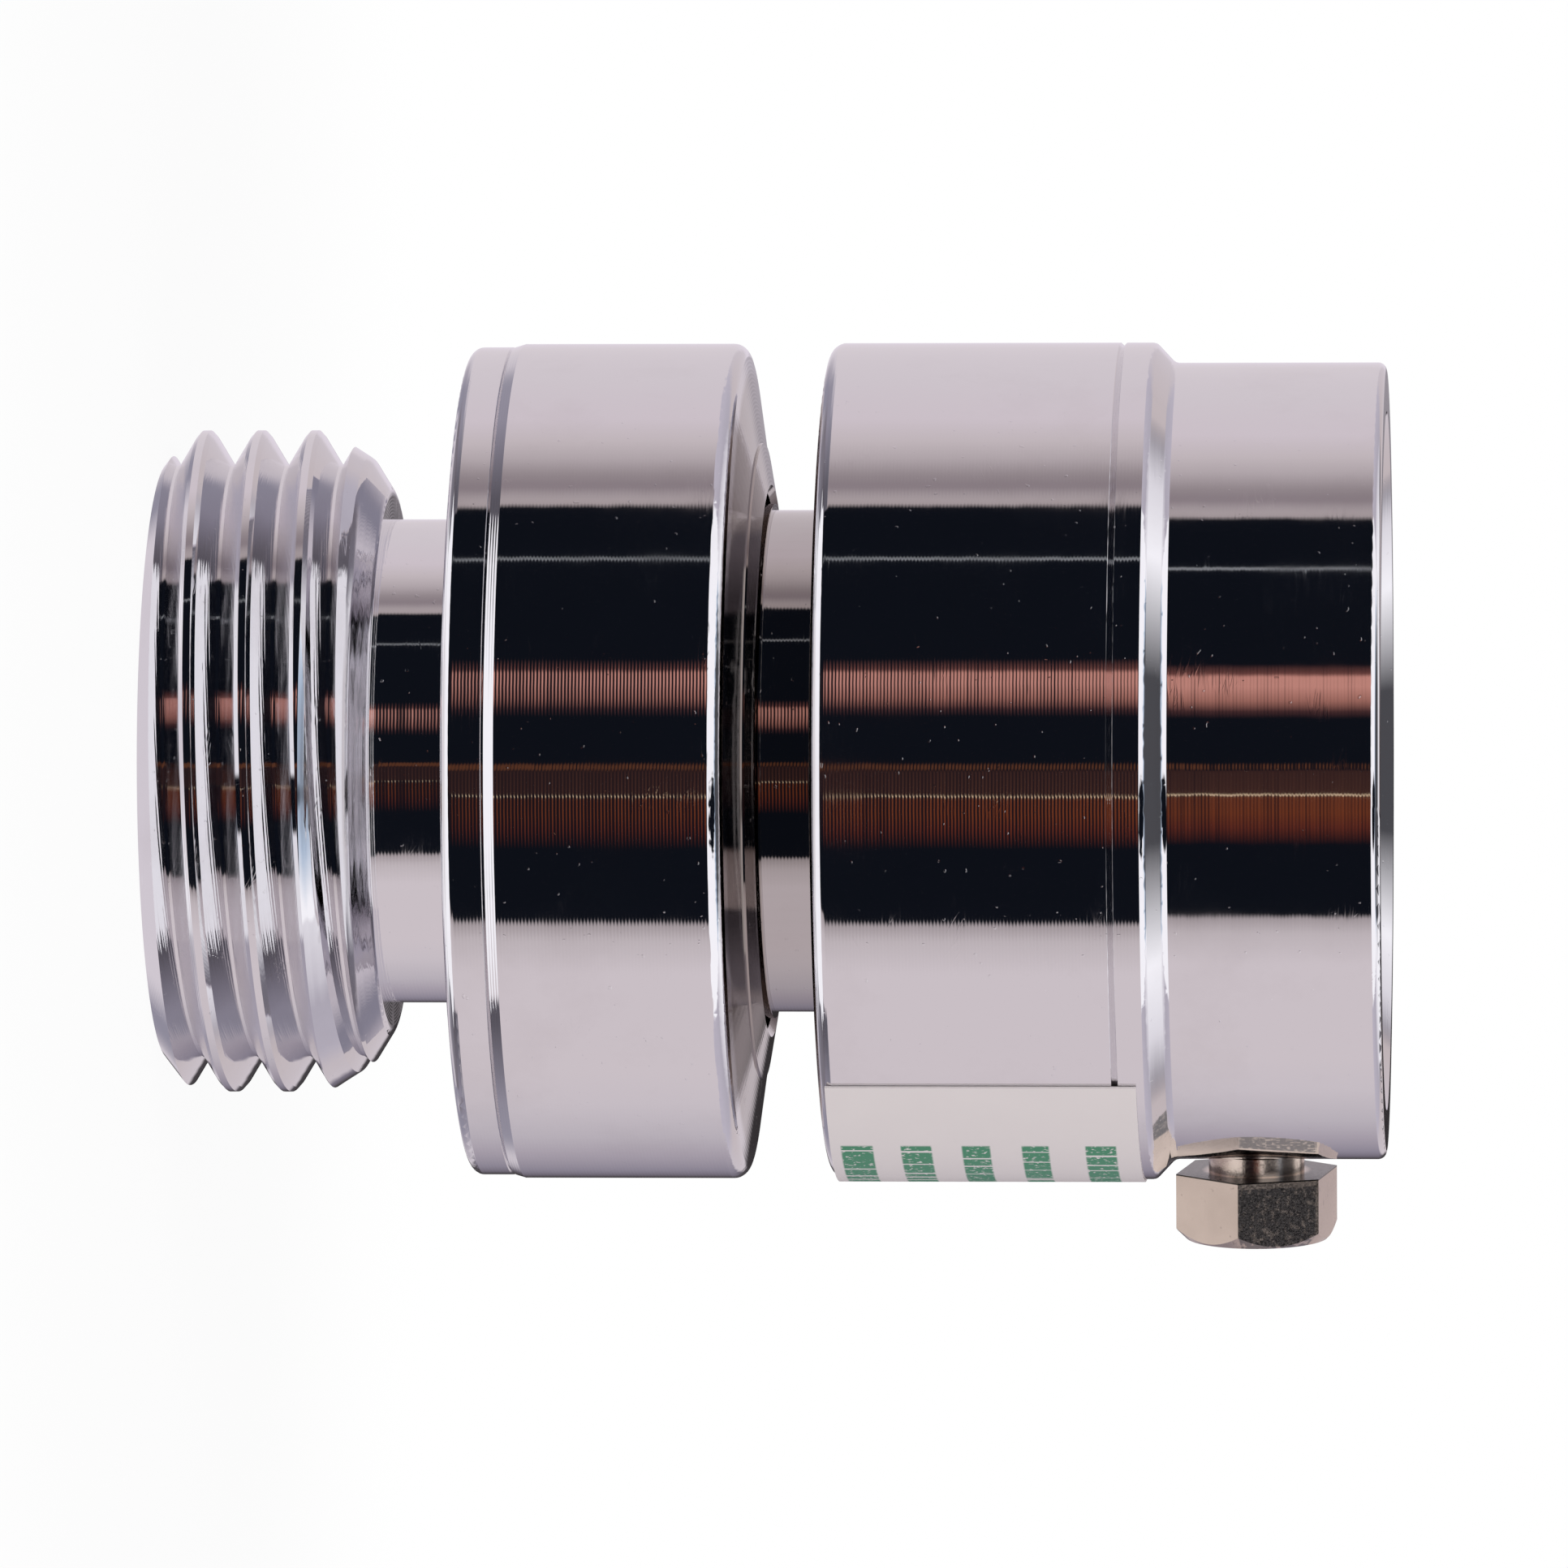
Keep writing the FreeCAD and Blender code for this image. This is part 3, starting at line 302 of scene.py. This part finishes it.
def acetal_material():
    material, tree, shader, place = new_material("moulded_acetal")
    cloud = noise(tree, place, 300.0, detail=2.0)
    grain = noise(tree, place, 4200.0, detail=2.0)
    tint = blend_colour(tree, cloud, (0.88, 0.88, 0.85), (0.82, 0.82, 0.78))
    tree.links.new(tint, shader.inputs["Base Color"])
    tree.links.new(span(tree, grain, 0.3, 0.7, 0.35, 0.5), shader.inputs["Roughness"])
    tree.links.new(bump(tree, grain, 0.002 * MM), shader.inputs["Normal"])
    shader.inputs["Subsurface Weight"].default_value = 0.1
    shader.inputs["Subsurface Scale"].default_value = 0.5 * MM
    return material


# Rows of plain green bars on the sticker: where each row's print starts and ends up the axis
PRINT_ROWS = ((27.75, 29.1), (30.15, 31.45), (32.6, 33.8), (35.0, 36.15), (37.55, 38.85))
PRINT_START = math.radians(-33.8)
PRINT_END = math.radians(49.2)
PRINT_STAGGER = 0.09
STICKER_RADIUS = 17.12


def sticker_material():
    """White vinyl, slightly uneven, with five rows of plain green bars."""
    material, tree, shader, place = new_material("vinyl_sticker")
    parts = put(tree, "ShaderNodeSeparateXYZ", {0: place})
    angle = calc(tree, "ARCTAN2", parts.outputs[1], parts.outputs[0])
    edge = 0.07 * MM
    ink = 0.0
    for number, (low, high) in enumerate(PRINT_ROWS):
        up = calc(tree, "SUBTRACT", parts.outputs[2], (low + high) / 2 * MM)
        half = (high - low) / 2 * MM
        row = span(tree, calc(tree, "ABSOLUTE", up), half - edge, half, 1.0, 0.0)
        along = calc(tree, "ADD", calc(tree, "MULTIPLY", angle, STICKER_RADIUS), 31.7 * number)
        inputs = {"W": along, "Scale": 0.42, "Detail": 0.0}
        words = put(tree, "ShaderNodeTexNoise", inputs, noise_dimensions="1D").outputs[0]
        words = span(tree, calc(tree, "ABSOLUTE", calc(tree, "SUBTRACT", words, 0.5)), 0.012, 0.02)
        start = span(tree, angle, PRINT_START, PRINT_START + 0.01)
        last = PRINT_END - PRINT_STAGGER * (number % 3)
        end = span(tree, angle, last, last - 0.01)
        bar = calc(tree, "MULTIPLY", calc(tree, "MULTIPLY", row, words), calc(tree, "MULTIPLY", start, end))
        ink = calc(tree, "MAXIMUM", bar, ink)
    wear = span(tree, noise(tree, place, 5200.0, detail=2.0), 0.3, 0.42)
    ink = calc(tree, "MULTIPLY", ink, wear)
    paper = blend_colour(tree, noise(tree, place, 500.0, detail=3.0), (0.87, 0.80, 0.80), (0.84, 0.77, 0.775))
    tree.links.new(blend_colour(tree, ink, paper, (0.02, 0.25, 0.115)), shader.inputs["Base Color"])
    waves = noise(tree, place, 160.0, detail=2.0)
    tree.links.new(bump(tree, waves, 0.05 * MM), shader.inputs["Normal"])
    shader.inputs["Roughness"].default_value = 0.32
    return material


MATERIALS = {
    "chrome_plate": chrome_material(),
    "nickel_screw": nickel_material(),
    "black_rubber": rubber_material(),
    "plain_brass": satin_metal(
        "turned_brass", (0.80, 0.60, 0.30), (0.62, 0.43, 0.18), 0.22, 0.08 * MM, 0.002 * MM,
    )[0],
    "white_acetal": acetal_material(),
    "stainless": satin_metal(
        "spring_steel", (0.62, 0.61, 0.60), (0.5, 0.49, 0.48), 0.18, 0.06 * MM, 0.001 * MM,
    )[0],
    "white_sticker": sticker_material(),
}
for subpart in frame["record"]["subparts"]:
    node = frame["nodes"][subpart["node"]]
    node.material_slots[0].material = MATERIALS[subpart["material_slot"]]


# Pieces that the CAD leaves to the looks
def finish_piece(name, mesh_data, body, slot):
    """Turn a bmesh into a shown piece that rides on a body."""
    mesh = bpy.data.meshes.new(name)
    mesh_data.to_mesh(mesh)
    mesh_data.free()
    for polygon in mesh.polygons:
        polygon.use_smooth = True
    mesh.materials.append(MATERIALS[slot])
    piece = bpy.data.objects.new(name, mesh)
    bpy.context.collection.objects.link(piece)
    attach(piece, body)
    return piece


def sweep(sections):
    """A closed skin over a row of closed sections that all have as many points."""
    skin = bmesh.new()
    rings = [[skin.verts.new(point) for point in section] for section in sections]
    count = len(rings[0])
    for ring, following in zip(rings, rings[1:]):
        for i in range(count):
            j = (i + 1) % count
            skin.faces.new((ring[i], following[i], following[j], ring[j]))
    skin.faces.new(rings[0])
    skin.faces.new(reversed(rings[-1]))
    bmesh.ops.recalc_face_normals(skin, faces=skin.faces)
    return skin


STEPS_PER_TURN = 72
HOSE_PITCH = 2.209 * MM
RIDGE_DEPTH = 1.25 * MM
RIDGE_FOOT = 0.92 * MM
RIDGE_TIP = 0.2 * MM
RIDGE_START_TURN = 0.2
SUNK = 0.02 * MM


def socket_thread():
    """The right-hand inside hose thread, a tapered ridge wound up the socket wall."""
    mount = next(m for m in frame["record"]["mounts"] if m["name"] == "inlet_socket")
    wall = mount["dims"]["r_mm"] * MM
    length = mount["dims"]["length_mm"] * MM
    low = mount["pos_m"][2] - length / 2
    turns = (length - 2 * RIDGE_FOOT - 0.3 * MM) / HOSE_PITCH
    steps = round(turns * STEPS_PER_TURN)
    sections = []
    for step in range(steps + 1):
        angle = 2 * math.pi * step / STEPS_PER_TURN
        middle = low + RIDGE_FOOT + 0.1 * MM + HOSE_PITCH * step / STEPS_PER_TURN
        rise = min(1.0, min(step, steps - step) / (RIDGE_START_TURN * STEPS_PER_TURN))
        reach = wall - RIDGE_DEPTH * max(rise, 0.02)
        across = Vector((math.cos(angle), math.sin(angle), 0))
        profile = (
            (wall + SUNK, -RIDGE_FOOT), (reach, -RIDGE_TIP), (reach, RIDGE_TIP), (wall + SUNK, RIDGE_FOOT),
        )
        sections.append([across * radius + AXIS * (middle + up) for radius, up in profile])
    finish_piece("socket_thread", sweep(sections), "housing", "chrome_plate")


SPRING_RADIUS = 4.2 * MM
WIRE_RADIUS = 0.35 * MM
WIRE_POINTS = 12
ACTIVE_TURNS = 4


def wound_spring(node, joint):
    """A spring with closed end turns in the plain CAD spring's place, from the fixed end that its check's
    joint gives to the CAD spring's top.
    """
    fixed_end = next(d["fixed_end_z_m"] for d in joint["deforming_nodes"] if d["node"] == node)
    free_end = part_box(node)[1][2]
    closed = 2.02 * WIRE_RADIUS
    rise = free_end - fixed_end - 2 * WIRE_RADIUS - 2 * closed
    sections = []
    for step in range((ACTIVE_TURNS + 2) * STEPS_PER_TURN + 1):
        turn = step / STEPS_PER_TURN
        height = closed * min(turn, 1) + closed * max(turn - ACTIVE_TURNS - 1, 0)
        height += rise * min(max(turn - 1, 0), ACTIVE_TURNS) / ACTIVE_TURNS
        angle = 2 * math.pi * turn
        across = Vector((math.cos(angle), math.sin(angle), 0))
        centre = across * SPRING_RADIUS + AXIS * (fixed_end + WIRE_RADIUS + height)
        ring = []
        for point in range(WIRE_POINTS):
            around = 2 * math.pi * point / WIRE_POINTS
            ring.append(centre + (across * math.cos(around) + AXIS * math.sin(around)) * WIRE_RADIUS)
        sections.append(ring)
    piece = finish_piece(node + "_wound", sweep(sections), "housing", "stainless")
    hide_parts(node)
    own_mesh(piece)


socket_thread()
declared = {joint["name"]: joint for joint in frame["record"]["behaviour"]["joints"]}
wound_spring("inlet_spring", declared["inlet_check_open"])
wound_spring("outlet_spring", declared["outlet_check_open"])


# The studio: what the chrome reflects, by direction round the object as the photograph's camera sees it
NIGHT = (13, 16, 23)
LIT = (201, 192, 196)
DUSK = (72, 72, 76)
WHITE = (243, 242, 246)

# Round the horizon: degrees from the camera's direction, positive on the side away from the set screw
SIDES = (
    (-180, (40, 37, 38)),
    (-170, (70, 66, 70)),
    (-164, (108, 102, 114)),
    (-156, (134, 128, 141)),
    (-140, (163, 155, 165)),
    (-128, (181, 174, 181)),
    (-110, (197, 189, 194)),
    (-96, LIT),
    (-61, LIT),
    (-51, (187, 178, 181)),
    (-46.2, (158, 149, 151)),
    (-45.4, NIGHT),
    (73.8, NIGHT),
    (74.6, (168, 157, 158)),
    (77, (160, 150, 152)),
    (80.6, (132, 121, 126)),
    (85, (145, 135, 138)),
    (91, (174, 164, 167)),
    (98, (191, 181, 184)),
    (108, (202, 192, 198)),
    (130, (203, 195, 200)),
    (160, (203, 195, 200)),
    (176, (206, 198, 208)),
    (180, (40, 37, 38)),
)

# From the nadir to the zenith: degrees, colour, and how far it covers the horizon's colour
FRONT_HEIGHTS = (
    (-90, (215, 211, 213), 1), (-72, (215, 211, 213), 1), (-60, WHITE, 1), (-34, WHITE, 1), (-30, WHITE, 0),
    (8, WHITE, 0), (10.5, WHITE, 1), (50, WHITE, 1), (56, (172, 188, 208), 1), (63, DUSK, 1), (90, DUSK, 1),
)
SIDE_HEIGHTS = (
    (-90, (215, 211, 213), 1), (-60, WHITE, 1), (-50, (122, 119, 129), 1), (-34, (118, 112, 120), 1),
    (-28, (138, 133, 146), 1), (-14, (146, 143, 156), 1), (-9, (150, 146, 160), 0),
    (5, (182, 176, 188), 0), (8, (182, 176, 188), 1), (34, (172, 167, 178), 1), (40, (200, 196, 204), 1),
    (60, WHITE, 1), (78, DUSK, 1), (90, DUSK, 1),
)
BACK_HEIGHTS = (
    (-90, (205, 198, 205), 1), (-40, (205, 198, 205), 1), (-31, (139, 136, 150), 1),
    (-25, (139, 136, 150), 1), (-19, (165, 159, 169), 1), (-13, (196, 189, 196), 1), (-9, (196, 190, 196), 0),
    (5, (192, 184, 190), 0), (8, (192, 184, 190), 1), (34, (190, 179, 180), 1), (40, (110, 106, 112), 1),
    (46, (80, 78, 82), 1), (50, WHITE, 1), (66, WHITE, 1), (76, DUSK, 1), (90, DUSK, 1),
)

# A dark card that stands above and beside the camera: its middle and half sizes in degrees
CARD_TURN = -17
CARD_HEIGHT = 38
CARD_HALF_TURN = 13
CARD_HALF_HEIGHT = 22

# The coloured bands of the dark side, by degrees round the horizon
PINK_SIDES = (
    (12, (0, 0, 0)), (14, (62, 35, 32)), (17, (150, 99, 87)), (21, (185, 128, 115)), (23.8, (185, 128, 115)),
    (24.8, (97, 58, 51)), (27.5, (0, 0, 0)),
)
ORANGE_SIDES = (
    (-24, (0, 0, 0)), (-19, (86, 34, 14)), (-15, (100, 46, 16)), (-10.5, (96, 46, 20)), (-9.5, (60, 34, 22)),
    (-3, (52, 28, 18)), (-2.6, (0, 0, 0)),
)
RUST_SIDES = (
    (-9.6, (0, 0, 0)), (-9.2, (28, 12, 6)), (-2.7, (28, 12, 6)), (-2.3, (78, 43, 20)), (-1.2, (78, 43, 20)),
    (-0.7, (0, 0, 0)),
)


def layer(tree, height, stops, below):
    """Colours by height, laid over what lies below them as far as each stop covers it."""
    node = put(tree, "ShaderNodeValToRGB", {"Fac": height})
    elements = node.color_ramp.elements
    elements[0].position = 0.0
    elements[1].position = 1.0
    for element, stop in ((elements[0], stops[0]), (elements[1], stops[-1])):
        element.color = (*linear(*stop[1]), stop[2])
    for degrees, colour, cover in stops[1:-1]:
        elements.new((degrees + 90) / 180).color = (*linear(*colour), cover)
    return blend_colour(tree, node.outputs["Alpha"], below, node.outputs["Color"])


def band(tree, turn, stops, glow):
    """A coloured band of the dark side, brighter where glow is."""
    low, high = stops[0][0], stops[-1][0]
    places = [((degrees - low) / (high - low), linear(*colour)) for degrees, colour in stops]
    colour = ramp(tree, span(tree, turn, low, high), places)
    return blend_colour(tree, glow, (0.0, 0.0, 0.0), colour)


def add_colour(tree, first, second):
    return blend_colour(tree, 1.0, first, second, blend="ADD")


def thin_line(tree, turn, middle, width, glow, colour):
    """A thin line of light that stands at one place round the horizon."""
    off = calc(tree, "ABSOLUTE", calc(tree, "SUBTRACT", turn, middle))
    line = calc(tree, "MULTIPLY", span(tree, off, width * 0.6, width, 1.0, 0.0), glow)
    return blend_colour(tree, line, (0.0, 0.0, 0.0), linear(*colour))


def studio_colour(tree):
    """What the chrome sees in each direction."""
    direction = put(tree, "ShaderNodeTexCoord").outputs["Generated"]
    parts = put(tree, "ShaderNodeSeparateXYZ", {0: direction})
    against_x = calc(tree, "MULTIPLY", parts.outputs[0], -1.0)
    against_y = calc(tree, "MULTIPLY", parts.outputs[1], -1.0)
    turn = calc(tree, "ADD", calc(tree, "ARCTAN2", against_x, against_y), CAMERA_AZIMUTH)
    share = calc(tree, "FRACT", calc(tree, "ADD", calc(tree, "DIVIDE", turn, 2 * math.pi), 0.5))
    turn = span(tree, share, 0.0, 1.0, -180.0, 180.0)
    height = calc(tree, "MULTIPLY", calc(tree, "ARCSINE", parts.outputs[2]), 180 / math.pi)
    uneven = calc(tree, "MULTIPLY_ADD", height, 0.12, turn)
    places = [((degrees + 180) / 360, linear(*colour)) for degrees, colour in SIDES]
    horizon = ramp(tree, span(tree, uneven, -180.0, 180.0), places)
    pink = band(tree, turn, PINK_SIDES, span(tree, height, -6.2, -1.0, 0.02, 1.0, smooth=True))
    orange = band(tree, turn, ORANGE_SIDES, span(tree, height, -4.8, 0.0, 0.06, 1.0, smooth=True))
    rust = band(tree, turn, RUST_SIDES, span(tree, height, -2.4, -1.5, 1.0, 0.1))
    jagged = thin_line(tree, uneven, 56.6, 0.55, span(tree, height, -9.0, 0.0, 0.5, 1.0), (128, 130, 133))
    dotted = thin_line(tree, uneven, -9.9, 0.3, span(tree, height, -4.0, -1.5), (190, 170, 140))
    for light in (pink, orange, rust, jagged, dotted):
        horizon = add_colour(tree, horizon, light)
    level = span(tree, height, -90.0, 90.0)
    front = layer(tree, level, FRONT_HEIGHTS, horizon)
    side = layer(tree, level, SIDE_HEIGHTS, horizon)
    back = layer(tree, level, BACK_HEIGHTS, horizon)
    card_x = calc(tree, "DIVIDE", calc(tree, "SUBTRACT", turn, CARD_TURN), CARD_HALF_TURN)
    card_y = calc(tree, "DIVIDE", calc(tree, "SUBTRACT", height, CARD_HEIGHT), CARD_HALF_HEIGHT)
    card = calc(tree, "ADD", calc(tree, "POWER", card_x, 2.0), calc(tree, "POWER", card_y, 2.0))
    front = blend_colour(tree, span(tree, card, 0.7, 1.1, 1.0, 0.0), front, linear(*NIGHT))
    away = calc(tree, "ABSOLUTE", turn)
    open_side = calc(
        tree, "MAXIMUM", span(tree, away, 84.0, 116.0, 0.25, 1.0), span(tree, height, -16.0, -10.0),
    )
    side = blend_colour(tree, open_side, linear(62, 60, 66), side)
    lower = span(tree, height, -36.0, -32.0, 18.0, 0.0)
    shown = blend_colour(tree, span(tree, calc(tree, "SUBTRACT", away, lower), 74.0, 76.5), front, side)
    return blend_colour(tree, span(tree, away, 132.0, 148.0, smooth=True), shown, back)


PLAIN_LIGHT = 0.45
STUDIO_LIGHT = 1.25


def studio_world():
    """White to the camera, even soft light on plain surfaces, and a dark studio in the chrome."""
    world = bpy.data.worlds.new("studio")
    world.use_nodes = True
    world.cycles.sampling_method = "NONE"
    tree = world.node_tree
    tree.nodes.clear()
    rays = put(tree, "ShaderNodeLightPath")
    mirror = calc(tree, "MAXIMUM", rays.outputs["Is Glossy Ray"], rays.outputs["Is Transmission Ray"])
    plain = put(tree, "ShaderNodeBackground", {"Color": (1, 0.985, 0.99, 1), "Strength": PLAIN_LIGHT})
    studio = put(tree, "ShaderNodeBackground", {"Color": studio_colour(tree), "Strength": STUDIO_LIGHT})
    white = put(tree, "ShaderNodeBackground", {"Color": (1, 1, 1, 1), "Strength": 1.0})
    lit = put(tree, "ShaderNodeMixShader", {0: mirror, 1: plain.outputs[0], 2: studio.outputs[0]})
    camera = rays.outputs["Is Camera Ray"]
    seen = put(tree, "ShaderNodeMixShader", {0: camera, 1: lit.outputs[0], 2: white.outputs[0]})
    put(tree, "ShaderNodeOutputWorld", {"Surface": seen.outputs[0]})
    bpy.context.scene.world = world


FLOOR_HALF = 30.0
SHADOW_NEAR = 0.03
SHADOW_FAR = 0.12


def pale_floor():
    """A plain white table that keeps a soft shadow and doesn't hide the studio from the chrome."""
    material = bpy.data.materials.new("white_table")
    material.use_nodes = True
    tree = material.node_tree
    tree.nodes.clear()
    rays = put(tree, "ShaderNodeLightPath")
    place = put(tree, "ShaderNodeTexCoord").outputs["Object"]
    reach = put(tree, "ShaderNodeVectorMath", {0: place}, operation="LENGTH").outputs["Value"]
    matte = put(tree, "ShaderNodeBsdfDiffuse", {"Color": (0.9, 0.9, 0.9, 1)})
    glow = put(tree, "ShaderNodeEmission", {"Color": (1, 1, 1, 1), "Strength": 1.0})
    share = span(tree, reach, SHADOW_NEAR, SHADOW_FAR, 0.93, 1.0, smooth=True)
    surface = put(tree, "ShaderNodeMixShader", {0: share, 1: matte.outputs[0], 2: glow.outputs[0]})
    camera = rays.outputs["Is Camera Ray"]
    unlit = put(tree, "ShaderNodeMixShader", {0: camera, 1: matte.outputs[0], 2: surface.outputs[0]})
    clear = put(tree, "ShaderNodeBsdfTransparent")
    mirror = calc(tree, "MAXIMUM", rays.outputs["Is Glossy Ray"], rays.outputs["Is Transmission Ray"])
    shown = put(tree, "ShaderNodeMixShader", {0: mirror, 1: unlit.outputs[0], 2: clear.outputs[0]})
    put(tree, "ShaderNodeOutputMaterial", {"Surface": shown.outputs[0]})
    mesh = bpy.data.meshes.new("floor")
    corners = [(x * FLOOR_HALF, y * FLOOR_HALF, 0) for x, y in ((-1, -1), (1, -1), (1, 1), (-1, 1))]
    mesh.from_pydata(corners, [], [(0, 1, 2, 3)])
    mesh.materials.append(material)
    floor = bpy.data.objects.new("floor", mesh)
    bpy.context.collection.objects.link(floor)


def soft_light(name, place, aim, width, power):
    data = bpy.data.lights.new(name, "AREA")
    data.shape = "DISK"
    data.size = width
    data.energy = power
    light = bpy.data.objects.new(name, data)
    light.location = place
    light.rotation_euler = (Vector(aim) - Vector(place)).to_track_quat("-Z", "Y").to_euler()
    light.visible_glossy = False
    bpy.context.collection.objects.link(light)


def photo_camera():
    """The camera of the photograph: turned on its side, so that the axis runs from left to right."""
    data = bpy.data.cameras.new("camera")
    data.sensor_width = SENSOR_WIDTH
    field = FRAME_PIXELS / PIXELS_PER_MM * MM
    data.lens = SENSOR_WIDTH * CAMERA_DISTANCE / field
    data.clip_start = 0.01
    camera = bpy.data.objects.new("camera", data)
    flat = math.cos(CAMERA_ELEVATION)
    back = Vector((
        math.sin(CAMERA_AZIMUTH) * flat, -math.cos(CAMERA_AZIMUTH) * flat, math.sin(CAMERA_ELEVATION),
    ))
    right = (AXIS - back * AXIS.dot(back)).normalized()
    up = back.cross(right)
    turned = Matrix((right, up, back)).transposed().to_4x4()
    camera.matrix_world = Matrix.Translation(VIEW_CENTRE + back * CAMERA_DISTANCE) @ turned
    bpy.context.collection.objects.link(camera)
    bpy.context.scene.camera = camera


studio_world()
pale_floor()
soft_light("key", (-0.35, -0.45, 0.5), (0, 0, 0.025), 0.5, 1.4)
soft_light("fill", (0.4, -0.3, 0.35), (0, 0, 0.025), 0.5, 0.8)
photo_camera()
bpy.context.scene.view_settings.view_transform = "Standard"
